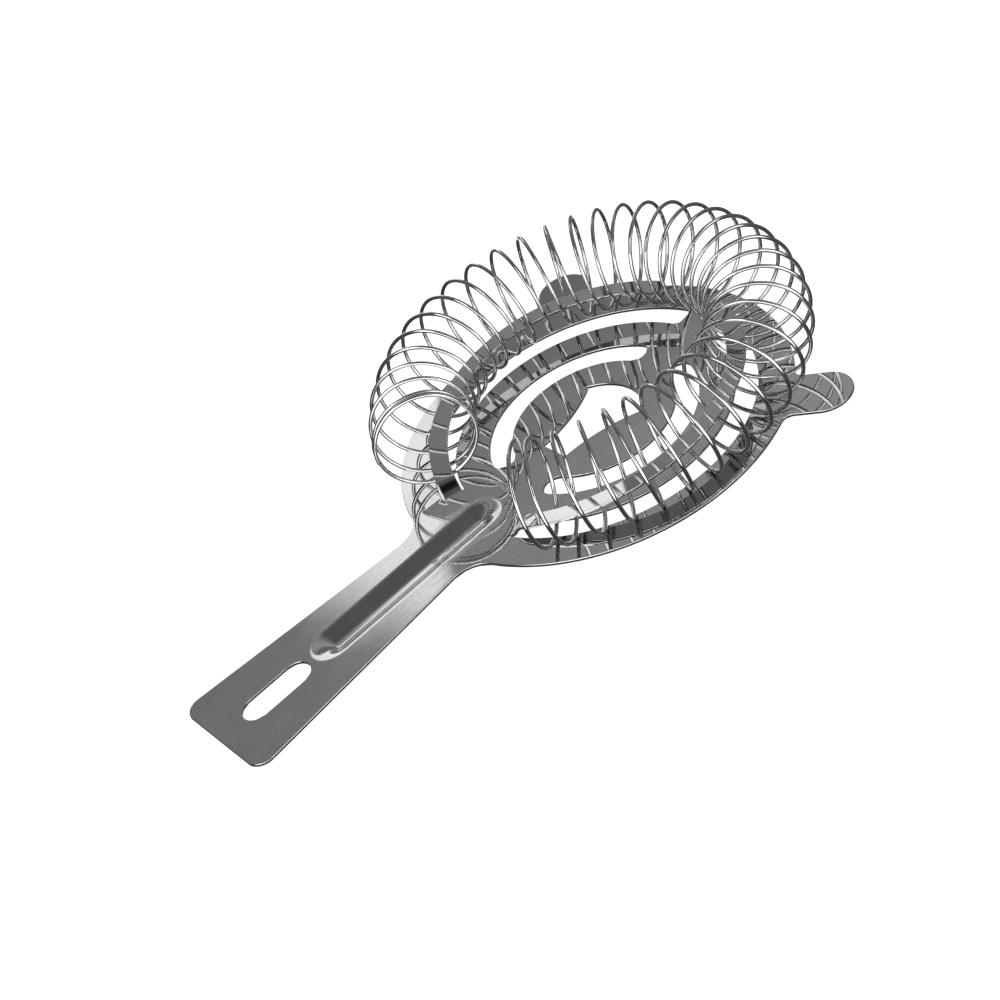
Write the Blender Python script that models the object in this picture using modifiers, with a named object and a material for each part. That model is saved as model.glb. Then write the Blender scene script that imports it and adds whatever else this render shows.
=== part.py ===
"""Hawthorne bar strainer: a pressed sheet body with two raised spring tongues, and a coil spring.

Metres, +Z up. The strainer lies on its back: the spring side faces up and the handle points
along -Y. Plan angles are measured from the front (+Y) and grow clockwise seen from above, so
plan_point(90 degrees) lies on +X. Every size is set here and the shapes are worked out below.
"""
import math

import bmesh
import bpy
from mathutils import Vector

MM = 0.001

# Sheet body
SHEET = 0.7 * MM
FORMED_SHEET = 0.62 * MM
HEAD_RADIUS = 42.0 * MM
HANDLE_REACH = 99.5 * MM
HANDLE_END_HALF_WIDTH = 14.2 * MM
HANDLE_TAPER = 0.092
HANDLE_CORNER = 3.4 * MM
NECK_FILLET = 6.5 * MM
HANG_HOLE_HALF_WIDTH = 3.2 * MM
HANG_HOLE_FAR_CENTRE = -90.0 * MM
HANG_HOLE_NEAR_CENTRE = -80.4 * MM

# Ears that rest on the rim of a shaker tin
EAR_ANGLE = math.radians(56.3)
EAR_HALF_WIDTH = 5.8 * MM
EAR_TIP_RADIUS = 54.4 * MM
EAR_FILLET = 2.0 * MM

# Windows in the head
OUTER_SLOT_INNER = 29.9 * MM
OUTER_SLOT_OUTER = 34.6 * MM
OUTER_SLOT_FRONT = math.radians(9.2)
OUTER_SLOT_CORNER = 1.3 * MM
INNER_SLOT_INNER = 17.5 * MM
INNER_SLOT_OUTER = 22.4 * MM
INNER_SLOT_FRONT = math.radians(13.5)
INNER_SLOT_BACK = math.radians(162.0)
INNER_SLOT_CORNER = 2.2 * MM
FAN_BASE_Y = -11.1 * MM
FAN_BASE_HALF_WIDTH = 3.6 * MM
FAN_SHOULDER = Vector((8.6 * MM, 6.3 * MM))
FAN_TOP_Y = 10.1 * MM
FAN_CORNER = 0.7 * MM

# Tongues that carry the spring: fixed at the foot near the handle, free at the front
TONGUE_INNER = 30.3 * MM
TONGUE_OUTER = 34.3 * MM
TONGUE_ROOT = math.radians(164.0)
TONGUE_FOOT = math.radians(161.5)
TONGUE_FOOT_TOP = math.radians(156.0)
TONGUE_CREST = math.radians(62.0)
TONGUE_TIP = math.radians(16.0)
TONGUE_HEIGHT = 7.5 * MM
TONGUE_RAMP_DROP = 4.4 * MM
TONGUE_RAMP_SPAN = math.radians(85.0)
TONGUE_RAMP_POWER = 1.7
TONGUE_TIP_CORNER = 1.2 * MM
WELD_DEPTH = 0.03 * MM

# Stiffening groove pressed down into the handle
GROOVE_HALF_WIDTH = 4.6 * MM
GROOVE_DEPTH = 1.6 * MM
GROOVE_FLOOR = 0.3 * MM
GROOVE_FLANGE = 0.9 * MM
GROOVE_FRONT_CENTRE = -32.6 * MM
GROOVE_BACK_CENTRE = -70.1 * MM

# Coil spring
WIRE_RADIUS = 0.385 * MM
COIL_RADIUS = 10.5 * MM
COIL_ARC_RADIUS = 35.5 * MM
COIL_ARC_CENTRE_Y = 3.6 * MM
COIL_AXIS_HEIGHT = 11.3 * MM
COIL_START = math.radians(-155.5)
COIL_FINISH = math.radians(150.0)
POINTS_PER_TURN = 18
COIL_STEPS = 672
COIL_TURNS = COIL_STEPS / POINTS_PER_TURN
CLOSED_TURNS = 1.25
START_TURN_STEP = math.radians(2.0)
FINISH_TURN_STEP = math.radians(5.0)
COIL_END_STRETCH = math.radians(3.0)

# The right leg of the coil sags inwards, then swings out and leans back at its end
LEG_SAG = 1.0 * MM
LEG_SAG_FROM = math.radians(60.0)
LEG_SAG_TO = math.radians(100.0)
LEG_SWING = 2.0 * MM
LEG_SWING_FROM = math.radians(112.0)
LEG_LEAN = math.radians(12.0)

# The row's origin is the middle of the box, on the plane that the strainer stands on
FRONT_REACH = COIL_ARC_CENTRE_Y + COIL_ARC_RADIUS + COIL_RADIUS + WIRE_RADIUS
RING_CENTRE_Y = (HANDLE_REACH - FRONT_REACH) / 2.0
RING_CENTRE_Z = FORMED_SHEET + GROOVE_DEPTH

STEEL = (0.60, 0.60, 0.61)


def plan_point(angle, radius):
    return Vector((radius * math.sin(angle), radius * math.cos(angle)))


def arc(centre, radius, start, end, steps):
    """Points on a circle between two angles counted anticlockwise from +X."""
    points = []
    for step in range(steps + 1):
        angle = start + (end - start) * step / steps
        points.append(centre + radius * Vector((math.cos(angle), math.sin(angle))))
    return points


def arc_between(centre, first, last, steps):
    """The shorter arc about centre that runs from the point first to the point last."""
    radius = (first - centre).length
    start = math.atan2(first.y - centre.y, first.x - centre.x)
    end = math.atan2(last.y - centre.y, last.x - centre.x)
    turn = (end - start + math.pi) % (2.0 * math.pi) - math.pi
    return arc(centre, radius, start, start + turn, steps)


def head_arc(start, end, steps):
    return [plan_point(start + (end - start) * i / steps, HEAD_RADIUS) for i in range(steps + 1)]


def mirrored_loop(half):
    """Closes a half outline, which starts at x = 0 and ends on a flat base, by mirroring it."""
    other = [Vector((-point.x, point.y)) for point in reversed(half[1:])]
    return half + other


def ear_half_outline():
    """Right ear, from the head circle round the tip and back to the head circle."""
    along = plan_point(EAR_ANGLE, 1.0)
    across = Vector((along.y, -along.x))
    fillet_offset = EAR_HALF_WIDTH + EAR_FILLET
    reach = HEAD_RADIUS + EAR_FILLET
    fillet_along = math.sqrt(reach ** 2 - fillet_offset ** 2)
    swing = math.asin(fillet_offset / reach)
    tip_centre = along * (EAR_TIP_RADIUS - EAR_HALF_WIDTH)
    sides = []
    for side in (-1.0, 1.0):
        centre = along * fillet_along + across * fillet_offset * side
        on_head = plan_point(EAR_ANGLE + side * swing, HEAD_RADIUS)
        on_side = along * fillet_along + across * EAR_HALF_WIDTH * side
        sides.append(arc_between(centre, on_head, on_side, 4))
    tip = arc_between(tip_centre, tip_centre - across * EAR_HALF_WIDTH,
                      tip_centre + along * EAR_HALF_WIDTH, 8)
    tip += arc_between(tip_centre, tip_centre + along * EAR_HALF_WIDTH,
                       tip_centre + across * EAR_HALF_WIDTH, 8)[1:]
    return sides[0] + tip + list(reversed(sides[1])), swing


def neck_fillet():
    """Arc that joins the head circle to the tapered side of the handle."""
    corner = Vector((HANDLE_END_HALF_WIDTH, -HANDLE_REACH))
    along = Vector((-HANDLE_TAPER, 1.0)).normalized()
    outward = Vector((along.y, -along.x))
    start = corner + outward * NECK_FILLET
    reach = HEAD_RADIUS + NECK_FILLET
    middle = -start.dot(along)
    travel = middle - math.sqrt(middle ** 2 - start.dot(start) + reach ** 2)
    centre = start + along * travel
    on_head = centre * (HEAD_RADIUS / reach)
    on_side = centre - outward * NECK_FILLET
    return arc_between(centre, on_head, on_side, 8)


def body_outline():
    ear, swing = ear_half_outline()
    neck = neck_fillet()
    neck_angle = math.atan2(neck[0].x, neck[0].y)
    corner_centre = Vector((HANDLE_END_HALF_WIDTH - HANDLE_CORNER * (1.0 + HANDLE_TAPER),
                            HANDLE_CORNER - HANDLE_REACH))
    half = head_arc(0.0, EAR_ANGLE - swing, 16)[:-1] + ear
    half += head_arc(EAR_ANGLE + swing, neck_angle, 32)[1:-1] + neck
    half += arc(corner_centre, HANDLE_CORNER, HANDLE_TAPER, -math.pi / 2.0, 8)
    return mirrored_loop(half)


def ring_slot(inner, outer, start, end, corner, side, round_end=True):
    """Outline of a slot that follows a ring: a rounded rectangle wrapped round the centre."""
    middle = (inner + outer) / 2.0
    length = (end - start) * middle
    width = outer - inner
    steps = 40
    flat = []
    for i in range(steps + 1):
        flat.append(Vector((corner + (length - 2.0 * corner) * i / steps, width)))
    if round_end:
        flat += arc(Vector((length - corner, width - corner)), corner, math.pi / 2.0, 0.0, 4)[1:]
        flat += arc(Vector((length - corner, corner)), corner, 0.0, -math.pi / 2.0, 4)
    else:
        flat += [Vector((length, width)), Vector((length, 0.0))]
    for i in range(1, steps + 1):
        flat.append(Vector((length - corner - (length - 2.0 * corner) * i / steps, 0.0)))
    flat += arc(Vector((corner, corner)), corner, -math.pi / 2.0, -math.pi, 4)[1:]
    flat += arc(Vector((corner, width - corner)), corner, math.pi, math.pi / 2.0, 4)[:-1]
    return [plan_point(side * (start + p.x / middle), inner + p.y) for p in flat]


def fan_opening():
    """Bell-shaped window in the middle: a flat base, hollow sides and an arched top."""
    base = Vector((FAN_BASE_HALF_WIDTH, FAN_BASE_Y))
    run = FAN_SHOULDER - base
    side_radius = run.length_squared / (2.0 * run.x)
    side_centre = base + Vector((side_radius, 0.0))
    sagitta = FAN_TOP_Y - FAN_SHOULDER.y
    top_radius = (FAN_SHOULDER.x ** 2 + sagitta ** 2) / (2.0 * sagitta)
    top_centre = Vector((0.0, FAN_TOP_Y - top_radius))
    top = arc_between(top_centre, Vector((0.0, FAN_TOP_Y)), FAN_SHOULDER, 10)
    side = arc_between(side_centre, FAN_SHOULDER, base, 12)
    corner = arc(FAN_SHOULDER + Vector((-0.4 * FAN_CORNER, -0.9 * FAN_CORNER)), FAN_CORNER,
                 math.radians(60.0), math.radians(-30.0), 4)
    return mirrored_loop(top[:-1] + corner + side[1:])


def stadium(radius, front, back, steps=14):
    """Closed outline at a distance radius from the centre line between front and back."""
    points = arc(Vector((0.0, front)), radius, 0.0, math.pi, steps)
    points += arc(Vector((0.0, back)), radius, math.pi, 2.0 * math.pi, steps)
    return points


def clear_scene():
    for existing in list(bpy.data.objects):
        bpy.data.objects.remove(existing, do_unlink=True)


def new_collection(name, hidden=False):
    collection = bpy.data.collections.new(name)
    bpy.context.scene.collection.children.link(collection)
    collection.hide_render = hidden
    return collection


def metal(name, roughness):
    material = bpy.data.materials.new(name)
    material.use_nodes = True
    shader = material.node_tree.nodes["Principled BSDF"]
    shader.inputs["Base Color"].default_value = (*STEEL, 1.0)
    shader.inputs["Metallic"].default_value = 1.0
    shader.inputs["Roughness"].default_value = roughness
    return material


def curve_to_mesh_object(curve_object, name, collection):
    """Replaces a curve object with a mesh of the same shape whose caps are joined to its walls."""
    depsgraph = bpy.context.evaluated_depsgraph_get()
    mesh = bpy.data.meshes.new_from_object(curve_object.evaluated_get(depsgraph))
    mesh.name = name
    shape = bmesh.new()
    shape.from_mesh(mesh)
    bmesh.ops.remove_doubles(shape, verts=shape.verts, dist=0.001 * MM)
    bmesh.ops.recalc_face_normals(shape, faces=shape.faces)
    shape.to_mesh(mesh)
    shape.free()
    result = bpy.data.objects.new(name, mesh)
    result.matrix_world = curve_object.matrix_world
    collection.objects.link(result)
    bpy.data.objects.remove(curve_object, do_unlink=True)
    return result


def flat_blank(name, loops, collection):
    """The cut sheet: a filled flat outline with its windows, top face at z = 0."""
    curve = bpy.data.curves.new(name + "_outline", "CURVE")
    curve.dimensions = "2D"
    curve.fill_mode = "BOTH"
    curve.extrude = SHEET / 2.0
    for loop in loops:
        spline = curve.splines.new("POLY")
        spline.points.add(len(loop) - 1)
        for target, point in zip(spline.points, loop):
            target.co = (point.x, point.y, 0.0, 1.0)
        spline.use_cyclic_u = True
    outline = bpy.data.objects.new(name + "_outline", curve)
    outline.location.z = -SHEET / 2.0
    collection.objects.link(outline)
    bpy.context.view_layer.update()
    return curve_to_mesh_object(outline, name, collection)


def lofted_sheet(name, rows, closed, thickness, collection):
    """An open sheet through rows of points, thickened downwards."""
    shape = bmesh.new()
    rings = [[shape.verts.new(point) for point in row] for row in rows]
    count = len(rings[0])
    for lower, upper in zip(rings, rings[1:]):
        for i in range(count if closed else count - 1):
            j = (i + 1) % count
            shape.faces.new((lower[i], lower[j], upper[j], upper[i]))
    if closed:
        shape.faces.new(rings[0])
    bmesh.ops.recalc_face_normals(shape, faces=shape.faces)
    if sum(face.normal.z for face in shape.faces) < 0.0:
        bmesh.ops.reverse_faces(shape, faces=shape.faces)
    mesh = bpy.data.meshes.new(name)
    shape.to_mesh(mesh)
    shape.free()
    sheet = bpy.data.objects.new(name, mesh)
    sheet.display_type = "WIRE"
    sheet.hide_render = True
    collection.objects.link(sheet)
    solidify = sheet.modifiers.new("Thickness", "SOLIDIFY")
    solidify.thickness = thickness
    solidify.offset = -1.0
    return sheet


def tongue_height(angle):
    """Height of a tongue's top face above the plate at a plan angle from the front."""
    past_crest = max(0.0, angle - TONGUE_CREST) / TONGUE_RAMP_SPAN
    ramp = TONGUE_HEIGHT - TONGUE_RAMP_DROP * past_crest ** TONGUE_RAMP_POWER
    rise = (TONGUE_FOOT - angle) / (TONGUE_FOOT - TONGUE_FOOT_TOP)
    rise = min(1.0, max(0.0, rise))
    blend = rise * rise * (3.0 - 2.0 * rise)
    return -WELD_DEPTH + (ramp + WELD_DEPTH) * blend


def tongue_rows(side):
    """Cross rows of a tongue from its root in the plate to its rounded free tip."""
    angles = [TONGUE_ROOT, TONGUE_FOOT]
    foot_steps = 8
    run_steps = 46
    tip_steps = 4
    middle = (TONGUE_INNER + TONGUE_OUTER) / 2.0
    tip_start = TONGUE_TIP + TONGUE_TIP_CORNER / middle
    for i in range(1, foot_steps + 1):
        angles.append(TONGUE_FOOT + (TONGUE_FOOT_TOP - TONGUE_FOOT) * i / foot_steps)
    for i in range(1, run_steps + 1):
        angles.append(TONGUE_FOOT_TOP + (tip_start - TONGUE_FOOT_TOP) * i / run_steps)
    insets = [0.0] * len(angles)
    for i in range(1, tip_steps + 1):
        swing = math.pi / 2.0 * i / tip_steps
        angles.append(tip_start - TONGUE_TIP_CORNER * math.sin(swing) / middle)
        insets.append(TONGUE_TIP_CORNER * (1.0 - math.cos(swing)))
    rows = []
    for angle, inset in zip(angles, insets):
        height = tongue_height(angle)
        row = []
        for radius in (TONGUE_INNER + inset, TONGUE_OUTER - inset):
            row.append(plan_point(side * angle, radius).to_3d() + Vector((0.0, 0.0, height)))
        rows.append(row)
    return rows


def groove_rows():
    """Rings of the pressed groove, from its floor out to the flange inside the plate."""
    steps = 9
    rows = []
    for i in range(steps + 1):
        distance = GROOVE_FLOOR + (GROOVE_HALF_WIDTH - GROOVE_FLOOR) * i / steps
        dip = 0.5 * (1.0 + math.cos(math.pi * i / steps))
        height = -WELD_DEPTH - (GROOVE_DEPTH - WELD_DEPTH) * dip
        rows.append((distance, height))
    rows.append((GROOVE_HALF_WIDTH + GROOVE_FLANGE, -WELD_DEPTH))
    rings = []
    for distance, height in rows:
        ring = stadium(distance, GROOVE_FRONT_CENTRE, GROOVE_BACK_CENTRE)
        rings.append([point.to_3d() + Vector((0.0, 0.0, height)) for point in ring])
    return rings


def join_solid(target, tool, name):
    boolean = target.modifiers.new(name, "BOOLEAN")
    boolean.operation = "UNION"
    boolean.solver = "EXACT"
    boolean.object = tool


def make_body(parts, tools, anchor):
    """One piece of sheet steel: blank, groove and the two raised tongues."""
    loops = [body_outline(), fan_opening()]
    for side in (-1.0, 1.0):
        loops.append(ring_slot(OUTER_SLOT_INNER, OUTER_SLOT_OUTER, OUTER_SLOT_FRONT, TONGUE_FOOT,
                               OUTER_SLOT_CORNER, side, round_end=False))
        loops.append(ring_slot(INNER_SLOT_INNER, INNER_SLOT_OUTER, INNER_SLOT_FRONT,
                               INNER_SLOT_BACK, INNER_SLOT_CORNER, side))
    loops.append(stadium(HANG_HOLE_HALF_WIDTH, HANG_HOLE_NEAR_CENTRE, HANG_HOLE_FAR_CENTRE))
    loops.append(stadium(GROOVE_HALF_WIDTH + GROOVE_FLANGE / 3.0, GROOVE_FRONT_CENTRE,
                         GROOVE_BACK_CENTRE))
    body = flat_blank("strainer_body", loops, parts)
    body.data.materials.append(metal("body_steel", 0.14))
    groove = lofted_sheet("groove_pressing", groove_rows(), True, FORMED_SHEET, tools)
    join_solid(body, groove, "Groove")
    groove.parent = anchor
    for side, name in ((-1.0, "left"), (1.0, "right")):
        tongue = lofted_sheet(name + "_tongue", tongue_rows(side), False, FORMED_SHEET, tools)
        join_solid(body, tongue, name.capitalize() + " tongue")
        tongue.parent = anchor
    body.parent = anchor
    return body


def smooth_step(value, low, high):
    t = min(1.0, max(0.0, (value - low) / (high - low)))
    return t * t * (3.0 - 2.0 * t)


def coil_plan_angle(turn):
    """Plan angle of the coil's axis after a number of turns: its end turns lie close together,
    and the turns next to them stand further apart than those at the front."""
    open_turns = COIL_TURNS - 2.0 * CLOSED_TURNS
    closed_span = CLOSED_TURNS * (START_TURN_STEP + FINISH_TURN_STEP)
    open_span = COIL_FINISH - COIL_START - closed_span
    first = min(turn, CLOSED_TURNS)
    last = max(0.0, turn - CLOSED_TURNS - open_turns)
    along = (turn - first - last) / open_turns
    stretch = COIL_END_STRETCH * math.sin(2.0 * math.pi * along)
    return COIL_START + first * START_TURN_STEP + along * open_span + stretch \
        + last * FINISH_TURN_STEP


def coil_frame(turn):
    """Middle of the coil's cross-section and the way its outer side faces, both in plan."""
    plan_angle = coil_plan_angle(turn)
    sag = LEG_SAG * smooth_step(plan_angle, LEG_SAG_FROM, LEG_SAG_TO)
    swing = smooth_step(plan_angle, LEG_SWING_FROM, COIL_FINISH)
    reach = COIL_ARC_RADIUS - sag + (LEG_SAG + LEG_SWING) * swing
    return plan_point(plan_angle, reach), plan_point(plan_angle - LEG_LEAN * swing, 1.0)


def make_coil(parts, anchor):
    """The spring: one wire wound round an arc, threaded over both tongues."""
    curve = bpy.data.curves.new("coil_spring", "CURVE")
    curve.dimensions = "3D"
    curve.bevel_depth = WIRE_RADIUS
    curve.bevel_resolution = 2
    curve.use_fill_caps = True
    spline = curve.splines.new("POLY")
    spline.points.add(COIL_STEPS)
    for step in range(COIL_STEPS + 1):
        turn = step / POINTS_PER_TURN
        middle, outward = coil_frame(turn)
        wire_angle = 2.0 * math.pi * turn
        spot = middle + outward * (COIL_RADIUS * math.cos(wire_angle))
        height = COIL_AXIS_HEIGHT + COIL_RADIUS * math.sin(wire_angle)
        spline.points[step].co = (spot.x, spot.y, height, 1.0)
    wire = bpy.data.objects.new("coil_wire", curve)
    parts.objects.link(wire)
    bpy.context.view_layer.update()
    coil = curve_to_mesh_object(wire, "coil_spring", parts)
    coil.data.materials.append(metal("spring_steel", 0.12))
    coil.data.shade_smooth()
    coil.data.set_sharp_from_angle(angle=math.radians(50.0))
    coil.location = (0.0, COIL_ARC_CENTRE_Y, 0.0)
    coil.parent = anchor
    return coil


def build():
    clear_scene()
    parts = new_collection("hawthorne_strainer")
    tools = new_collection("hawthorne_strainer_tools", hidden=True)
    anchor = bpy.data.objects.new("ring_centre", None)
    anchor.location = (0.0, RING_CENTRE_Y, RING_CENTRE_Z)
    parts.objects.link(anchor)
    make_body(parts, tools, anchor)
    make_coil(parts, anchor)


build()
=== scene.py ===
"""Looks for the hawthorne strainer: a finely rounded sheet body and coil spring in polished steel.

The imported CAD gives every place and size. Lengths below are in millimetres, in plan coordinates
whose origin is the middle of the head's ring; place() turns them into metres in the row frame.
Plan angles are measured from the front (+Y) and grow clockwise seen from above.
"""
import math

import bpy
from mathutils import Matrix, Vector
from mathutils.geometry import delaunay_2d_cdt


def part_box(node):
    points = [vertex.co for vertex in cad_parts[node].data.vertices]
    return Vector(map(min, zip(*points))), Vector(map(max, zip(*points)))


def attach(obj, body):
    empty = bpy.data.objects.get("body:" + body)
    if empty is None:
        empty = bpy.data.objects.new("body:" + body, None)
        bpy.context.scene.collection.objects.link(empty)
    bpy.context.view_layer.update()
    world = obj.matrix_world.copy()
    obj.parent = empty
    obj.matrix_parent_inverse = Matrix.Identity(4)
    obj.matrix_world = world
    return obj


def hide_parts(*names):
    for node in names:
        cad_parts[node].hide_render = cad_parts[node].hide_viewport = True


# Sheet body, as the CAD has it but for rounded edges, the tongues' slight roll and the
# groove's soft shoulders, which are broader at its two ends
SHEET = 0.7
FORMED_SHEET = 0.62
EDGE_ROUND = 0.17
HEAD_RADIUS = 42.0
HANDLE_REACH = 99.5
HANDLE_END_HALF_WIDTH = 14.2
HANDLE_TAPER = 0.092
HANDLE_CORNER = 3.4
NECK_FILLET = 6.5
HANG_HOLE = (3.2, -80.4, -90.0)
EAR_ANGLE = math.radians(56.3)
EAR_HALF_WIDTH = 5.8
EAR_TIP_RADIUS = 54.4
EAR_FILLET = 2.0
OUTER_SLOT = (29.9, 34.6)
OUTER_SLOT_FRONT = math.radians(9.2)
OUTER_SLOT_CORNER = 1.3
INNER_SLOT = (17.5, 22.4)
INNER_SLOT_FRONT = math.radians(13.5)
INNER_SLOT_BACK = math.radians(162.0)
INNER_SLOT_CORNER = 2.2
FAN_BASE = Vector((3.6, -11.1))
FAN_SHOULDER = Vector((8.6, 6.3))
FAN_TOP_Y = 10.1
FAN_CORNER = 0.7
TONGUE = (30.3, 34.3)
TONGUE_FOOT = math.radians(161.5)
TONGUE_FOOT_TOP = math.radians(156.0)
TONGUE_CREST = math.radians(62.0)
TONGUE_TIP = math.radians(16.0)
TONGUE_HEIGHT = 7.5
TONGUE_RAMP_DROP = 4.4
TONGUE_RAMP_SPAN = math.radians(85.0)
TONGUE_RAMP_POWER = 1.7
TONGUE_TIP_CORNER = 1.2
TONGUE_ROLL = math.radians(1.8)
TONGUE_ROOT_OVERLAP = math.radians(0.6)
TONGUE_ROOT_SINK = 0.02
GROOVE_HALF_WIDTH = 4.6
GROOVE_END_REACH = 6.0
GROOVE_END_SHOULDER = 0.7
GROOVE_DEPTH = 1.6
GROOVE_FLOOR = 0.3
GROOVE_RIM = 6.3
GROOVE_CENTRES = (-32.6, -70.1)
GROOVE_TOP = FORMED_SHEET + GROOVE_DEPTH
GROOVE_LAST_RING = 0.02

# Coil spring, as the CAD has it but for a slightly thicker wire
WIRE_RADIUS = 0.42
WIRE_END_ROUND = 0.12
COIL_RADIUS = 10.5
COIL_ARC_RADIUS = 35.5
COIL_ARC_CENTRE_Y = 3.6
COIL_AXIS_HEIGHT = 11.3
COIL_START = math.radians(-155.5)
COIL_FINISH = math.radians(150.0)
COIL_TURNS = 112.0 / 3.0
CLOSED_TURNS = 1.25
START_TURN_STEP = math.radians(2.0)
FINISH_TURN_STEP = math.radians(5.0)
COIL_END_STRETCH = math.radians(3.0)
LEG_SAG = 1.0
LEG_SAG_ANGLES = (math.radians(60.0), math.radians(100.0))
LEG_SWING = 2.0
LEG_SWING_FROM = math.radians(112.0)
LEG_LEAN = math.radians(12.0)

# Fineness of the meshes, and the small step that slopes are measured over
ROUND_STEPS = 4
GROOVE_STEPS = 44
COIL_STEPS = 2100
WIRE_SIDES = 16
SLOPE_STEP = 1e-4

# Camera, from the point of the plate that it looks at
CAMERA_AIM = Vector((0.7, -26.75, 0.0))
CAMERA_AZIMUTH = 66.77
CAMERA_ELEVATION = 36.52
CAMERA_ROLL = -26.55
CAMERA_DISTANCE = 416.3
CAMERA_LENS = 75.74

# Steel: its darkest and lightest grain, and how dull it is round the pressed groove; then, in
# metres, where the handle's brushing and the duller patch round the groove fade out
GRAIN_DARK = (0.53, 0.53, 0.535, 1.0)
GRAIN_LIGHT = (0.66, 0.66, 0.665, 1.0)
PRESSED_ROUGHNESS = 0.10
HANDLE_FADE = (-0.012, 0.002)
PRESSED_FADE = (0.0050, 0.0072)
RELIEF_HEIGHT = 0.00001

# Studio: directions that its lights are measured along, and the floor's half size in metres,
# its paint, and its glow
STUDIO_HEIGHT = (-0.187, 0.549, 0.814)
STUDIO_BACK = (-0.738, 0.317, -0.595)
STUDIO_ACROSS = (-0.4226, -0.9053, 0.0418)
STUDIO_SIDE = (-0.60, -0.72, 0.36)
FLOOR_HALF_SIZE = 3.0
FLOOR_PAINT = (0.8, 0.8, 0.8, 1.0)
FLOOR_GLOW = 0.9
WHITE = (1.0, 1.0, 1.0, 1.0)

# Light card: its plane, its extent along Y and in height, the slopes of its sharp and its soft
# edge with the Y where they cross the plate's height, and its light
CARD_X = -420.0
CARD_SPAN = (-20.0, 300.0)
CARD_HEIGHTS = (60.0, 470.0)
CARD_EDGE_SLOPE = 0.443
CARD_EDGE = 269.8
CARD_FADE_SLOPE = -0.58
CARD_FADE = (-147.6, -93.6)
CARD_LIGHT = 1.25


def plan_point(angle, radius):
    return Vector((radius * math.sin(angle), radius * math.cos(angle)))


def arc(centre, radius, start, end, steps):
    """Points on a circle between two angles counted anticlockwise from +X."""
    points = []
    for step in range(steps + 1):
        angle = start + (end - start) * step / steps
        points.append(centre + radius * Vector((math.cos(angle), math.sin(angle))))
    return points


def arc_between(centre, first, last, steps):
    """The shorter arc about centre that runs from the point first to the point last."""
    start = math.atan2(first.y - centre.y, first.x - centre.x)
    end = math.atan2(last.y - centre.y, last.x - centre.x)
    turn = (end - start + math.pi) % (2.0 * math.pi) - math.pi
    return arc(centre, (first - centre).length, start, start + turn, steps)


def head_arc(start, end, steps):
    return [plan_point(start + (end - start) * i / steps, HEAD_RADIUS) for i in range(steps + 1)]


def line(first, last, steps):
    return [first.lerp(last, i / steps) for i in range(steps + 1)]


def mirrored_loop(half):
    """Closes a half outline, which starts at x = 0 and ends on a flat base, by mirroring it."""
    other = [Vector((-point.x, point.y)) for point in reversed(half[1:])]
    return half + other


def ear_half_outline():
    """Right ear, from the head circle round the tip and back to the head circle, and the plan
    angle from the ear's middle to either end of it."""
    along = plan_point(EAR_ANGLE, 1.0)
    across = Vector((along.y, -along.x))
    fillet_offset = EAR_HALF_WIDTH + EAR_FILLET
    reach = HEAD_RADIUS + EAR_FILLET
    fillet_along = math.sqrt(reach ** 2 - fillet_offset ** 2)
    swing = math.asin(fillet_offset / reach)
    tip_centre = along * (EAR_TIP_RADIUS - EAR_HALF_WIDTH)
    sides = []
    for side in (-1.0, 1.0):
        centre = along * fillet_along + across * fillet_offset * side
        on_head = plan_point(EAR_ANGLE + side * swing, HEAD_RADIUS)
        on_side = along * fillet_along + across * EAR_HALF_WIDTH * side
        sides.append(arc_between(centre, on_head, on_side, 12))
    near, tip, far = (tip_centre + way * EAR_HALF_WIDTH for way in (-across, along, across))
    rounded_tip = arc_between(tip_centre, near, tip, 24) + arc_between(tip_centre, tip, far, 24)[1:]
    return sides[0] + rounded_tip + list(reversed(sides[1])), swing


def neck_fillet():
    """Arc that joins the head circle to the tapered side of the handle."""
    corner = Vector((HANDLE_END_HALF_WIDTH, -HANDLE_REACH))
    along = Vector((-HANDLE_TAPER, 1.0)).normalized()
    outward = Vector((along.y, -along.x))
    start = corner + outward * NECK_FILLET
    reach = HEAD_RADIUS + NECK_FILLET
    middle = -start.dot(along)
    travel = middle - math.sqrt(middle ** 2 - start.dot(start) + reach ** 2)
    centre = start + along * travel
    return arc_between(centre, centre * (HEAD_RADIUS / reach), centre - outward * NECK_FILLET, 24)


def body_outline():
    ear, swing = ear_half_outline()
    neck = neck_fillet()
    neck_angle = math.atan2(neck[0].x, neck[0].y)
    corner_centre = Vector((HANDLE_END_HALF_WIDTH - HANDLE_CORNER * (1.0 + HANDLE_TAPER),
                            HANDLE_CORNER - HANDLE_REACH))
    half = head_arc(0.0, EAR_ANGLE - swing, 60)[:-1] + ear
    half += head_arc(EAR_ANGLE + swing, neck_angle, 120)[1:-1] + neck
    half += arc(corner_centre, HANDLE_CORNER, HANDLE_TAPER, -math.pi / 2.0, 20)
    return mirrored_loop(half)


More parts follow.
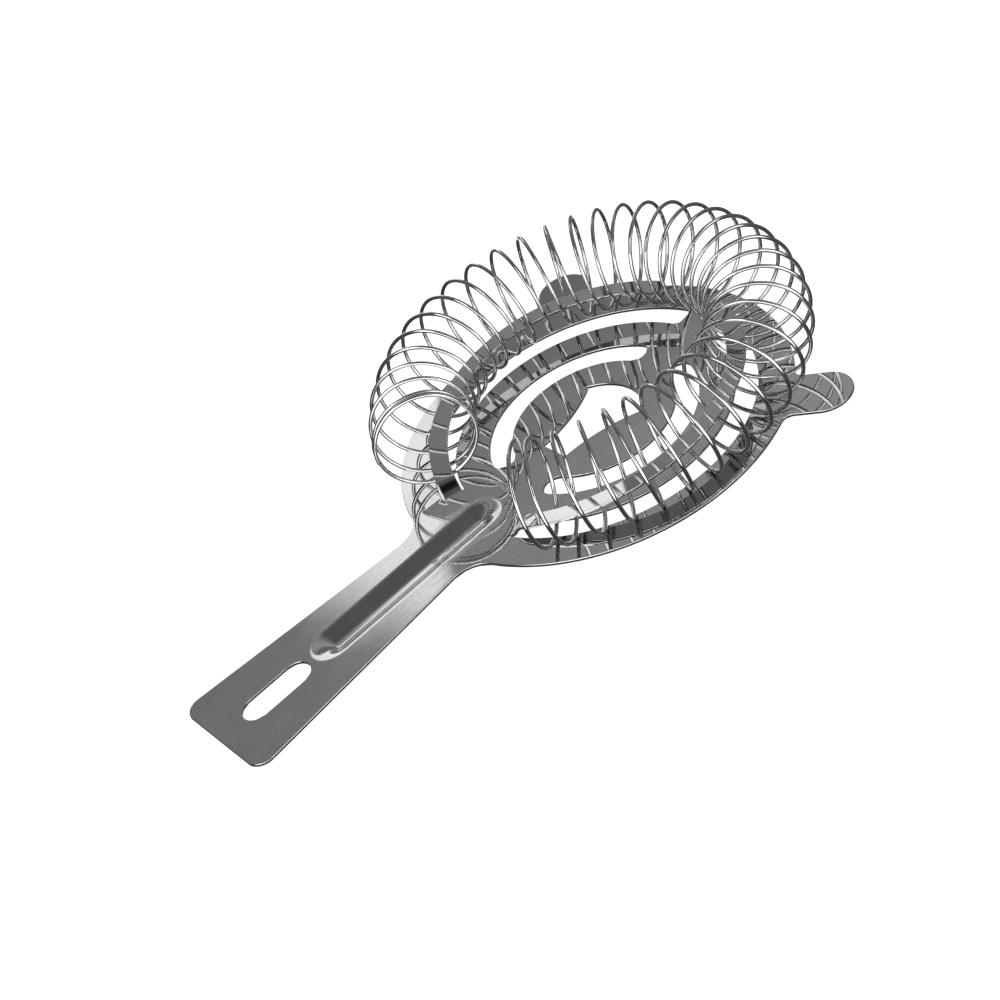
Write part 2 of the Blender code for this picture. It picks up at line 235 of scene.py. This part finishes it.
def ring_slot(radii, start, end, corner, side, round_end=True):
    """Outline of a slot that follows a ring, laid out straight and then bent round it, and which
    of its points are on a square end."""
    inner, outer = radii
    middle = (inner + outer) / 2.0
    length = (end - start) * middle
    width = outer - inner
    steps, corner_steps, square_steps = 150, 10, 12
    near, far = Vector((corner, width)), Vector((length - corner, width))
    quarter = math.pi / 2.0
    flat = line(near, far, steps)
    square = []
    if round_end:
        far_corners = (Vector((length - corner, width - corner)), Vector((length - corner, corner)))
        flat += arc(far_corners[0], corner, quarter, 0.0, corner_steps)[1:]
        flat += arc(far_corners[1], corner, 0.0, -quarter, corner_steps)
    else:
        square = line(Vector((length, width)), Vector((length, 0.0)), square_steps)
        flat += square
    flat += line(Vector((length - corner, 0.0)), Vector((corner, 0.0)), steps)[1:]
    near_corners = (Vector((corner, corner)), Vector((corner, width - corner)))
    flat += arc(near_corners[0], corner, -quarter, -2.0 * quarter, corner_steps)[1:]
    flat += arc(near_corners[1], corner, 2.0 * quarter, quarter, corner_steps)[:-1]
    loop = [plan_point(side * (start + p.x / middle), inner + p.y) for p in flat]
    return loop, [flat.index(p) for p in square]


def fan_opening():
    """Bell-shaped window in the middle: a flat base, hollow sides and an arched top."""
    run = FAN_SHOULDER - FAN_BASE
    side_radius = run.length_squared / (2.0 * run.x)
    side_centre = FAN_BASE + Vector((side_radius, 0.0))
    sagitta = FAN_TOP_Y - FAN_SHOULDER.y
    top_radius = (FAN_SHOULDER.x ** 2 + sagitta ** 2) / (2.0 * sagitta)
    top_centre = Vector((0.0, FAN_TOP_Y - top_radius))
    top = arc_between(top_centre, Vector((0.0, FAN_TOP_Y)), FAN_SHOULDER, 30)
    side = arc_between(side_centre, FAN_SHOULDER, FAN_BASE, 40)
    corner = arc(FAN_SHOULDER + Vector((-0.4 * FAN_CORNER, -0.9 * FAN_CORNER)), FAN_CORNER,
                 math.radians(60.0), math.radians(-30.0), 8)
    return mirrored_loop(top[:-1] + corner + side[1:])


def stadium(radius, centres, steps=28, run=30):
    """Closed outline at a distance radius from the line between the two centres."""
    front, back = centres
    points = arc(Vector((0.0, front)), radius, 0.0, math.pi, steps)
    points += line(Vector((-radius, front)), Vector((-radius, back)), run)[1:-1]
    points += arc(Vector((0.0, back)), radius, math.pi, 2.0 * math.pi, steps)
    points += line(Vector((radius, back)), Vector((radius, front)), run)[1:-1]
    return points


def signed_area(loop):
    return sum(a.cross(b) for a, b in zip(loop, loop[1:] + loop[:1])) / 2.0


def miters(loop):
    """Unit inset of each point of a loop towards the side on its left."""
    result = []
    count = len(loop)
    for i in range(count):
        before = (loop[i] - loop[i - 1]).normalized()
        after = (loop[(i + 1) % count] - loop[i]).normalized()
        middle = Vector((-(before.y + after.y), before.x + after.x)).normalized()
        lean = middle.dot(Vector((-after.y, after.x)))
        result.append(middle / max(0.5, lean))
    return result


class Shape:
    """A mesh under construction whose points carry their own normals."""

    def __init__(self):
        self.points, self.normals, self.faces = [], [], []

    def add(self, point, normal):
        self.points.append(Vector(point))
        self.normals.append(Vector(normal).normalized())
        return len(self.points) - 1

    def strip(self, first, second, closed=True):
        """Quads between two rows of points."""
        count = len(first)
        for i in range(count if closed else count - 1):
            j = (i + 1) % count
            self.faces.append((first[i], first[j], second[j], second[i]))

    def build(self, name, material):
        mesh = bpy.data.meshes.new(name)
        mesh.from_pydata([place(point) for point in self.points], [], self.faces)
        mesh.validate()
        mesh.update()
        for face in mesh.polygons:
            face.use_smooth = True
        self.face_outward(mesh)
        mesh.normals_split_custom_set_from_vertices(self.normals)
        mesh.materials.append(material)
        made = bpy.data.objects.new(name, mesh)
        bpy.context.scene.collection.objects.link(made)
        return made

    def face_outward(self, mesh):
        """Turns each face to the side that its points' normals look to."""
        turned = []
        for face in mesh.polygons:
            looks = sum((self.normals[i] for i in face.vertices), Vector())
            if looks.dot(face.normal) < 0.0:
                turned.append(face.index)
        for index in turned:
            mesh.polygons[index].flip()
        mesh.update()


def place(point):
    """Millimetres in plan coordinates to metres in the row frame."""
    return RING_CENTRE + Vector(point) * 0.001


def up(point, height):
    return Vector((point.x, point.y, height))


def flat_sheet(shape, rounded, hole):
    """The cut sheet with its rounded edges. rounded are (loop, square points) of the outline and
    the windows; hole is the loop that the pressed groove starts from. Returns the rows of the
    groove's hole on the top and on the bottom face."""
    plan, edges, rims = [], [], []
    for index, (loop, square) in enumerate(rounded):
        if (signed_area(loop) > 0.0) != (index == 0):
            loop = list(reversed(loop))
            square = [len(loop) - 1 - i for i in square]
        inset = miters(loop)
        rounds = [0.0 if i in square else EDGE_ROUND for i in range(len(loop))]
        rims.append((loop, inset, rounds, len(plan)))
        add_plan_loop(plan, edges, [p + m * r for p, m, r in zip(loop, inset, rounds)])
    hole_start = len(plan)
    add_plan_loop(plan, edges, hole)
    points, _, triangles, origin, _, _ = delaunay_2d_cdt(plan, edges, [], 0, 1e-6)
    index_of = {original: new for new, old in enumerate(origin) for original in old}
    kept = in_sheet(triangles, points, [rim[0] for rim in rims], hole)
    top, bottom = [], []
    for side, height, normal in ((top, 0.0, 1.0), (bottom, -SHEET, -1.0)):
        side.extend(shape.add(up(p, height), (0.0, 0.0, normal)) for p in points)
        shape.faces += [tuple(side[i] for i in triangle) for triangle in kept]
    for loop, inset, rounds, start in rims:
        here = [index_of[start + i] for i in range(len(loop))]
        round_edge(shape, loop, inset, rounds, [top[i] for i in here], [bottom[i] for i in here])
    here = [index_of[hole_start + i] for i in range(len(hole))]
    return [top[i] for i in here], [bottom[i] for i in here]


def in_sheet(triangles, points, loops, hole):
    """The triangles inside the outline, the first loop, and outside every window."""
    kept = []
    for triangle in triangles:
        middle = sum((points[i] for i in triangle), Vector((0.0, 0.0))) / 3.0
        inside = within(middle, loops[0]) and not within(middle, hole)
        if inside and not any(within(middle, loop) for loop in loops[1:]):
            kept.append(triangle)
    return kept


def round_edge(shape, loop, inset, rounds, top, bottom):
    """The cut edge along a loop, rounded from the top row of points down to the bottom row."""
    rows = [top]
    for step in range(1, ROUND_STEPS + 1):
        swing = math.pi / 2.0 * step / ROUND_STEPS
        row = []
        for p, m, r in zip(loop, inset, rounds):
            normal = up(m.normalized() * -math.sin(swing), math.cos(swing))
            spot = p + m * r * (1.0 - math.sin(swing))
            row.append(shape.add(up(spot, -r * (1.0 - math.cos(swing))), normal))
        rows.append(row)
    for step in range(ROUND_STEPS):
        swing = math.pi / 2.0 * step / ROUND_STEPS
        row = []
        for p, m, r in zip(loop, inset, rounds):
            normal = up(m.normalized() * -math.cos(swing), -math.sin(swing))
            spot = p + m * r * (1.0 - math.cos(swing))
            row.append(shape.add(up(spot, -SHEET + r * (1.0 - math.sin(swing))), normal))
        rows.append(row)
    rows.append(bottom)
    for first, second in zip(rows, rows[1:]):
        shape.strip(first, second)


def add_plan_loop(plan, edges, loop):
    start, count = len(plan), len(loop)
    plan += loop
    edges += [(start + i, start + (i + 1) % count) for i in range(count)]


def within(point, loop):
    """Whether a point is inside a closed outline."""
    inside = False
    for a, b in zip(loop, loop[1:] + loop[:1]):
        if (a.y > point.y) != (b.y > point.y):
            if point.x < a.x + (b.x - a.x) * (point.y - a.y) / (b.y - a.y):
                inside = not inside
    return inside


def groove_height(distance, lengthwise):
    """Height of the groove's top face, which is 0 or below, and its slope at a distance from the
    centre line. The shoulder is broader at the two ends, where lengthwise is 1."""
    span = GROOVE_HALF_WIDTH + (GROOVE_END_REACH - GROOVE_HALF_WIDTH) * lengthwise - GROOVE_FLOOR
    shoulder = 1.0 + (GROOVE_END_SHOULDER - 1.0) * lengthwise
    t = (distance - GROOVE_FLOOR) / span
    if t <= 0.0:
        return -GROOVE_DEPTH, 0.0
    if t >= 1.0:
        return 0.0, 0.0
    swing = math.pi * t ** shoulder
    height = -GROOVE_DEPTH * 0.5 * (1.0 + math.cos(swing))
    return height, GROOVE_DEPTH * 0.5 * math.sin(swing) * swing * shoulder / (t * span)


def press_groove(shape, top_hole, bottom_hole):
    """The groove pressed down into the handle, from its hole in the flat sheet to its floor."""
    tops, bottoms = [top_hole], [bottom_hole]
    spine = stadium(0.0, GROOVE_CENTRES)
    for i in range(1, GROOVE_STEPS + 1):
        distance = GROOVE_RIM + (GROOVE_LAST_RING - GROOVE_RIM) * i / GROOVE_STEPS
        thickness = SHEET + (FORMED_SHEET - SHEET) * i / GROOVE_STEPS
        ring = stadium(distance, GROOVE_CENTRES)
        top, bottom = [], []
        for point, centre in zip(ring, spine):
            away = (point - centre).normalized()
            height, slope = groove_height(distance, away.y ** 2)
            normal = up(-away * slope, 1.0).normalized()
            top.append(shape.add(up(point, height), normal))
            bottom.append(shape.add(up(point, height) - normal * thickness, -normal))
        tops.append(top)
        bottoms.append(bottom)
    for rows in (tops, bottoms):
        for first, second in zip(rows, rows[1:]):
            shape.strip(first, second)
        shape.faces.append(tuple(rows[-1]))


def tongue_height(angle):
    """Height of a tongue's top face above the plate at a plan angle from the front."""
    past_crest = max(0.0, angle - TONGUE_CREST) / TONGUE_RAMP_SPAN
    ramp = TONGUE_HEIGHT - TONGUE_RAMP_DROP * past_crest ** TONGUE_RAMP_POWER
    rise = (TONGUE_FOOT - angle) / (TONGUE_FOOT - TONGUE_FOOT_TOP)
    rise = min(1.0, max(0.0, rise))
    return ramp * rise * rise * (3.0 - 2.0 * rise)


def tongue_section(width, thickness):
    """Rounded section of a tongue: (across, down, normal across, normal up) round the loop."""
    r = EDGE_ROUND
    columns = 8
    section = []

    def corner(across, down, degrees):
        for degree in degrees:
            swing = math.radians(degree)
            section.append((across + r * math.sin(swing), down - r * math.cos(swing),
                            math.sin(swing), math.cos(swing)))

    for i in range(columns + 1):
        section.append((r + (width - 2.0 * r) * i / columns, 0.0, 0.0, 1.0))
    corner(width - r, r, (30.0, 60.0, 90.0))
    corner(width - r, thickness - r, (90.0, 120.0, 150.0, 180.0))
    for i in range(1, columns + 1):
        section.append((width - r - (width - 2.0 * r) * i / columns, thickness, 0.0, -1.0))
    corner(r, thickness - r, (210.0, 240.0, 270.0))
    corner(r, r, (270.0, 300.0, 330.0))
    return section


def tongue_places():
    """(plan angle, inset of both sides) along a tongue, from its root to its rounded tip."""
    middle = (TONGUE[0] + TONGUE[1]) / 2.0
    tip_start = TONGUE_TIP + TONGUE_TIP_CORNER / middle
    places = [(TONGUE_FOOT + TONGUE_ROOT_OVERLAP, 0.0), (TONGUE_FOOT, 0.0)]
    for first, last, steps in ((TONGUE_FOOT, TONGUE_FOOT_TOP, 28),
                               (TONGUE_FOOT_TOP, TONGUE_CREST, 120),
                               (TONGUE_CREST, tip_start, 60)):
        places += [(first + (last - first) * i / steps, 0.0) for i in range(1, steps + 1)]
    for i in range(1, 11):
        swing = math.pi / 2.0 * i / 10.0
        places.append((tip_start - TONGUE_TIP_CORNER * math.sin(swing) / middle,
                       TONGUE_TIP_CORNER * (1.0 - math.cos(swing))))
    return places


def raise_tongue(shape, side):
    """A tongue from its root in the plate, up the foot and along the ramp to its free tip."""
    middle = (TONGUE[0] + TONGUE[1]) / 2.0
    rows = []
    for angle, inset in tongue_places():
        width = TONGUE[1] - TONGUE[0] - 2.0 * inset
        rise = tongue_height(angle + SLOPE_STEP) - tongue_height(angle - SLOPE_STEP)
        slope = rise / (2.0 * SLOPE_STEP)
        height = tongue_height(angle) if angle <= TONGUE_FOOT else -TONGUE_ROOT_SINK
        outward = up(plan_point(side * angle, 1.0), 0.0)
        tangent = up(Vector((outward.y, -outward.x)) * side, 0.0)
        normal = (Vector((0.0, 0.0, 1.0)) - tangent * (slope / middle)).normalized()
        roll = TONGUE_ROLL * smooth_step(-angle, -TONGUE_FOOT, -TONGUE_FOOT_TOP)
        across_tongue = outward * math.cos(roll) + normal * math.sin(roll)
        face = normal * math.cos(roll) - outward * math.sin(roll)
        spine = outward * middle + Vector((0.0, 0.0, height))
        row = []
        for across, down, lean, lift in tongue_section(width, FORMED_SHEET):
            point = spine + across_tongue * (across - width / 2.0) - face * down
            row.append(shape.add(point, face * lift + across_tongue * lean))
        rows.append(row)
    for first, second in zip(rows, rows[1:]):
        shape.strip(first, second)
    shape.faces.append(tuple(rows[-1]))


def make_body(material):
    rounded = [(body_outline(), []), (fan_opening(), [])]
    for side in (-1.0, 1.0):
        rounded.append(ring_slot(OUTER_SLOT, OUTER_SLOT_FRONT, TONGUE_FOOT, OUTER_SLOT_CORNER,
                                 side, round_end=False))
        rounded.append(ring_slot(INNER_SLOT, INNER_SLOT_FRONT, INNER_SLOT_BACK,
                                 INNER_SLOT_CORNER, side))
    rounded.append((stadium(HANG_HOLE[0], HANG_HOLE[1:], 24, 8), []))
    shape = Shape()
    hole = stadium(GROOVE_RIM, GROOVE_CENTRES)
    top_hole, bottom_hole = flat_sheet(shape, rounded, hole)
    press_groove(shape, top_hole, bottom_hole)
    for side in (-1.0, 1.0):
        raise_tongue(shape, side)
    return shape.build("strainer_sheet", material)


def smooth_step(value, low, high):
    t = min(1.0, max(0.0, (value - low) / (high - low)))
    return t * t * (3.0 - 2.0 * t)


def coil_plan_angle(turn):
    """Plan angle of the coil's axis after a number of turns."""
    open_turns = COIL_TURNS - 2.0 * CLOSED_TURNS
    closed_span = CLOSED_TURNS * (START_TURN_STEP + FINISH_TURN_STEP)
    open_span = COIL_FINISH - COIL_START - closed_span
    first = min(turn, CLOSED_TURNS)
    last = max(0.0, turn - CLOSED_TURNS - open_turns)
    along = (turn - first - last) / open_turns
    stretch = COIL_END_STRETCH * math.sin(2.0 * math.pi * along)
    return COIL_START + first * START_TURN_STEP + along * open_span + stretch \
        + last * FINISH_TURN_STEP


def coil_frame(turn):
    """Middle of the coil's cross-section and the way its outer side faces, both in plan."""
    plan_angle = coil_plan_angle(turn)
    sag = LEG_SAG * smooth_step(plan_angle, *LEG_SAG_ANGLES)
    swing = smooth_step(plan_angle, LEG_SWING_FROM, COIL_FINISH)
    reach = COIL_ARC_RADIUS - sag + (LEG_SAG + LEG_SWING) * swing
    middle = plan_point(plan_angle, reach) + Vector((0.0, COIL_ARC_CENTRE_Y))
    return middle, plan_point(plan_angle - LEG_LEAN * swing, 1.0)


def coil_point(turn):
    swing = 2.0 * math.pi * turn
    middle, outward = coil_frame(turn)
    return up(middle + outward * (COIL_RADIUS * math.cos(swing)),
              COIL_AXIS_HEIGHT + COIL_RADIUS * math.sin(swing))


def make_coil(material):
    """The spring: one wire wound round an arc, with lightly rounded cut ends."""
    shape = Shape()
    rows = []
    end_radius = WIRE_RADIUS - WIRE_END_ROUND
    stations = [(0.0, -1.0, end_radius)]
    stations += [(COIL_TURNS * i / COIL_STEPS, 0.0, WIRE_RADIUS) for i in range(COIL_STEPS + 1)]
    stations.append((COIL_TURNS, 1.0, end_radius))
    for turn, end, radius in stations:
        here = coil_point(turn)
        along = (coil_point(turn + SLOPE_STEP) - coil_point(turn - SLOPE_STEP)).normalized()
        outward = here - up(coil_frame(turn)[0], COIL_AXIS_HEIGHT)
        outward = (outward - along * outward.dot(along)).normalized()
        sideways = along.cross(outward)
        row = []
        for i in range(WIRE_SIDES):
            swing = 2.0 * math.pi * i / WIRE_SIDES
            ray = outward * math.cos(swing) + sideways * math.sin(swing)
            point = here + ray * radius + along * end * WIRE_END_ROUND
            row.append(shape.add(point, ray if end == 0.0 else ray + along * end * 2.0))
        rows.append(row)
    for first, second in zip(rows, rows[1:]):
        shape.strip(first, second)
    shape.faces.append(tuple(rows[0]))
    shape.faces.append(tuple(rows[-1]))
    return shape.build("spring_wire", material)


class Nodes:
    """Short way to lay out a node tree."""

    def __init__(self, tree):
        self.tree = tree

    def add(self, kind, settings=None, **inputs):
        """Adds a node. An input is called by its name, with _ for a space, or by i and its
        number, and takes a value or another node's output."""
        node = self.tree.nodes.new(kind)
        for key, value in (settings or {}).items():
            setattr(node, key, value)
        for key, value in inputs.items():
            socket = node.inputs[int(key[1:])] if key[0] == "i" and key[1:].isdigit() \
                else node.inputs[key.replace("_", " ")]
            if isinstance(value, bpy.types.NodeSocket):
                self.tree.links.new(value, socket)
            else:
                socket.default_value = value
        return node

    def math(self, operation, *values, clamp=False):
        inputs = {f"i{i}": value for i, value in enumerate(values)}
        settings = {"operation": operation, "use_clamp": clamp}
        return self.add("ShaderNodeMath", settings, **inputs).outputs[0]

    def ramp(self, value, low, high, out_low, out_high):
        """A smooth step of value from out_low at low to out_high at high."""
        node = self.add("ShaderNodeMapRange", {"interpolation_type": "SMOOTHSTEP"})
        self.tree.links.new(value, node.inputs["Value"])
        for key, number in (("From Min", low), ("From Max", high), ("To Min", out_low),
                            ("To Max", out_high)):
            node.inputs[key].default_value = number
        return node.outputs["Result"]


def steel(name, roughness, handle_roughness, ripple):
    """Polished stainless steel: fine grain in its tone, hairlines in its gloss and along the
    handle, and a faint ripple that makes the mirror images waver."""
    material = bpy.data.materials.new(name)
    material.use_nodes = True
    tree = material.node_tree
    n = Nodes(tree)
    shader = tree.nodes["Principled BSDF"]
    shader.inputs["Metallic"].default_value = 1.0
    place_of = n.add("ShaderNodeTexCoord").outputs["Object"]
    split = n.add("ShaderNodeSeparateXYZ", None, Vector=place_of)
    neck = place((0.0, -HEAD_RADIUS, 0.0)).y
    on_handle = n.ramp(split.outputs[1], neck + HANDLE_FADE[0], neck + HANDLE_FADE[1], 1.0, 0.0)

    # Distance in plan from the groove's centre line, in metres
    front, back = (place((0.0, y, 0.0)).y for y in GROOVE_CENTRES)
    past = n.math("MAXIMUM", n.math("SUBTRACT", split.outputs[1], front),
                  n.math("SUBTRACT", back, split.outputs[1]))
    past = n.math("MAXIMUM", past, 0.0)
    reach = n.math("SQRT", n.math("ADD", n.math("MULTIPLY", past, past),
                                  n.math("MULTIPLY", split.outputs[0], split.outputs[0])))
    pressed = n.ramp(reach, *PRESSED_FADE, 1.0, 0.0)

    speck = n.add("ShaderNodeTexNoise", None, Vector=place_of, Scale=2600.0, Detail=3.0)
    patch = n.add("ShaderNodeTexNoise", None, Vector=place_of, Scale=90.0, Detail=2.0)
    drawn = n.add("ShaderNodeMapping", None, Vector=place_of, Scale=(9.0, 0.35, 9.0))
    hair = n.add("ShaderNodeTexNoise", None, Vector=drawn.outputs[0], Scale=420.0, Detail=4.0)
    tone = n.add("ShaderNodeMix", {"data_type": "RGBA"})
    mixed = n.math("MULTIPLY_ADD", speck.outputs[0], 0.6,
                   n.math("MULTIPLY", patch.outputs[0], 0.4))
    tree.links.new(n.ramp(mixed, 0.3, 0.7, 0.0, 1.0), tone.inputs["Factor"])
    tone.inputs["A"].default_value = GRAIN_DARK
    tone.inputs["B"].default_value = GRAIN_LIGHT
    tree.links.new(tone.outputs["Result"], shader.inputs["Base Color"])
    gloss = n.math("MAXIMUM", n.ramp(on_handle, 0.0, 1.0, roughness, handle_roughness),
                   n.math("MULTIPLY", pressed, PRESSED_ROUGHNESS))
    vary = n.ramp(n.math("MULTIPLY_ADD", hair.outputs[0], 0.6,
                         n.math("MULTIPLY", patch.outputs[0], 0.4)), 0.35, 0.7, 0.7, 1.4)
    tree.links.new(n.math("MULTIPLY", gloss, vary), shader.inputs["Roughness"])
    brushing = n.math("MULTIPLY", hair.outputs[0],
                      n.math("MULTIPLY_ADD", on_handle, 0.5, 0.05))
    relief = n.math("ADD", brushing, n.math("MULTIPLY", patch.outputs[0], ripple))
    bump = n.add("ShaderNodeBump", None, Strength=1.0, Distance=RELIEF_HEIGHT, Height=relief)
    tree.links.new(bump.outputs[0], shader.inputs["Normal"])
    return material


def make_floor():
    """A wide white studio floor under the strainer; its mirror images come from the studio."""
    size = FLOOR_HALF_SIZE
    mesh = bpy.data.meshes.new("studio_floor")
    corners = [(-size, -size, 0.0), (size, -size, 0.0), (size, size, 0.0), (-size, size, 0.0)]
    mesh.from_pydata(corners, [], [(0, 1, 2, 3)])
    floor = bpy.data.objects.new("studio_floor", mesh)
    bpy.context.scene.collection.objects.link(floor)
    material = bpy.data.materials.new("studio_white")
    material.use_nodes = True
    shader = material.node_tree.nodes["Principled BSDF"]
    shader.inputs["Base Color"].default_value = FLOOR_PAINT
    shader.inputs["Roughness"].default_value = 0.6
    shader.inputs["Emission Color"].default_value = WHITE
    shader.inputs["Emission Strength"].default_value = FLOOR_GLOW
    mesh.materials.append(material)
    floor.visible_glossy = False


def make_card():
    """A light card beyond the left ear, which the handle and the tongues mirror: one of its
    edges is sharp and the other fades."""
    mesh = bpy.data.meshes.new("light_card")
    (near, far), (low, high) = CARD_SPAN, CARD_HEIGHTS
    outline = [(CARD_X, y, z) for y, z in ((near, low), (far, low), (far, high), (near, high))]
    mesh.from_pydata([place(corner) for corner in outline], [], [(0, 1, 2, 3)])
    card = bpy.data.objects.new("light_card", mesh)
    bpy.context.scene.collection.objects.link(card)
    material = bpy.data.materials.new("card_light")
    material.use_nodes = True
    tree = material.node_tree
    tree.nodes.clear()
    n = Nodes(tree)
    split = n.add("ShaderNodeSeparateXYZ", None,
                  Vector=n.add("ShaderNodeTexCoord").outputs["Object"])

    def past(slope, where):
        """How far a spot of the card lies past a sloping edge, in metres."""
        start = place((0.0, where, 0.0))
        level = n.math("MULTIPLY_ADD", split.outputs[2], slope, split.outputs[1])
        return n.math("SUBTRACT", level, start.y + slope * start.z)

    fade = (CARD_FADE[1] - CARD_FADE[0]) * 0.001
    light = n.math("MULTIPLY", n.ramp(past(CARD_EDGE_SLOPE, CARD_EDGE), -0.001, 0.001, 1.0, 0.0),
                   n.ramp(past(CARD_FADE_SLOPE, CARD_FADE[0]), 0.0, fade, 0.0, 1.0))
    glow = n.add("ShaderNodeEmission", None, Strength=CARD_LIGHT)
    clear = n.add("ShaderNodeBsdfTransparent")
    mix = n.add("ShaderNodeMixShader", None, i0=light, i1=clear.outputs[0], i2=glow.outputs[0])
    out = n.add("ShaderNodeOutputMaterial")
    tree.links.new(mix.outputs[0], out.inputs["Surface"])
    mesh.materials.append(material)
    card.visible_camera = False
    card.visible_shadow = False


def make_studio():
    """Light from all round, which the steel mirrors: a narrow white cove and a white wall
    behind, a dark ceiling, dark sides, the lit table in front and a box light over it. The
    camera itself sees plain white."""
    world = bpy.data.worlds.new("studio")
    bpy.context.scene.world = world
    world.use_nodes = True
    tree = world.node_tree
    n = Nodes(tree)
    direction = n.add("ShaderNodeTexCoord").outputs["Generated"]

    def toward(vector):
        dot = n.add("ShaderNodeVectorMath", {"operation": "DOT_PRODUCT"}, i0=direction,
                    i1=Vector(vector).normalized())
        return dot.outputs["Value"]

    def both(first, second):
        return n.math("MULTIPLY", first, second)

    _, y, z = n.add("ShaderNodeSeparateXYZ", None, Vector=direction).outputs
    height = toward(STUDIO_HEIGHT)
    back = toward(STUDIO_BACK)
    across = n.math("ABSOLUTE", toward(STUDIO_ACROSS))
    side = n.math("ABSOLUTE", toward(STUDIO_SIDE))
    ceiling = n.math("ADD", n.ramp(z, 0.50, 0.62, 0.14, 0.31), n.ramp(z, 0.74, 0.95, 0.0, -0.18))
    ceiling = both(ceiling, n.ramp(height, 0.45, 0.62, 0.0, 1.0))
    ceiling = both(ceiling, n.ramp(y, 0.10, 0.50, 0.80, 1.25))
    sides = both(n.ramp(height, -0.7, -0.3, 0.06, 0.12), n.ramp(back, -0.97, -0.88, 0.1, 1.0))
    cove = both(n.ramp(height, 0.50, 0.62, 1.15, 0.0), n.ramp(back, 0.25, 0.45, 0.0, 1.0))
    cove = both(cove, n.ramp(across, 0.14, 0.24, 1.0, 0.0))
    cove = both(cove, n.ramp(z, -0.50, -0.40, 0.0, 1.0))
    behind = n.ramp(back, 0.95, 0.98, 0.0, 1.15)
    table = both(n.ramp(height, -0.95, -0.88, 0.0, 1.0), n.ramp(height, 0.02, 0.10, 1.0, 0.0))
    table = both(table, n.ramp(back, -0.52, -0.40, 2.2, 0.0))
    box = both(n.ramp(back, -0.55, -0.48, 1.0, 0.0), n.ramp(back, -0.88, -0.83, 0.0, 1.0))
    box = both(box, both(n.ramp(height, 0.50, 0.58, 1.0, 0.0), n.ramp(side, 0.28, 0.36, 0.0, 2.2)))
    light = ceiling
    for source in (sides, cove, behind, table, box):
        light = n.math("MAXIMUM", light, source)
    background = tree.nodes["Background"]
    tree.links.new(light, background.inputs["Color"])
    seen = n.add("ShaderNodeLightPath").outputs["Is Camera Ray"]
    plain = n.add("ShaderNodeBackground", None, Color=WHITE)
    mix = n.add("ShaderNodeMixShader", None, i0=seen, i1=background.outputs[0],
                i2=plain.outputs[0])
    tree.links.new(mix.outputs[0], tree.nodes["World Output"].inputs["Surface"])


def make_camera():
    data = bpy.data.cameras.new("camera")
    data.sensor_width = 36.0
    data.lens = CAMERA_LENS
    data.clip_start, data.clip_end = 0.01, 20.0
    camera = bpy.data.objects.new("camera", data)
    bpy.context.scene.collection.objects.link(camera)
    azimuth, elevation = math.radians(CAMERA_AZIMUTH), math.radians(CAMERA_ELEVATION)
    back = Vector((math.sin(azimuth) * math.cos(elevation),
                   -math.cos(azimuth) * math.cos(elevation), math.sin(elevation)))
    turn = back.to_track_quat("Z", "Y").to_matrix()
    turn = turn @ Matrix.Rotation(math.radians(CAMERA_ROLL), 3, "Z")
    camera.matrix_world = Matrix.Translation(place(CAMERA_AIM + back * CAMERA_DISTANCE)) \
        @ turn.to_4x4()
    bpy.context.scene.camera = camera


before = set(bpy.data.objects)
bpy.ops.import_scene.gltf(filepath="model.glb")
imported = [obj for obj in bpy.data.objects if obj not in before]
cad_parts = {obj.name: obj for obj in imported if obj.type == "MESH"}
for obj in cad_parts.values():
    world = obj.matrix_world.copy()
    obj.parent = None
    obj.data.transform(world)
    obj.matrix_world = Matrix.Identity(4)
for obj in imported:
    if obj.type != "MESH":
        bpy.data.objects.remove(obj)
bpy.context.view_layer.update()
head_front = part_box("strainer_body")[1].y
RING_CENTRE = Vector((0.0, head_front - HEAD_RADIUS * 0.001, GROOVE_TOP * 0.001))

make_camera()
body = make_body(steel("sheet_steel", 0.035, 0.08, 1.0))
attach(body, "body")
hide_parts("strainer_body")
coil = make_coil(steel("wire_steel", 0.05, 0.05, 0.0))
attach(coil, "spring")
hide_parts("coil_spring")
make_floor()
make_card()
make_studio()
bpy.context.scene.view_settings.view_transform = "Standard"
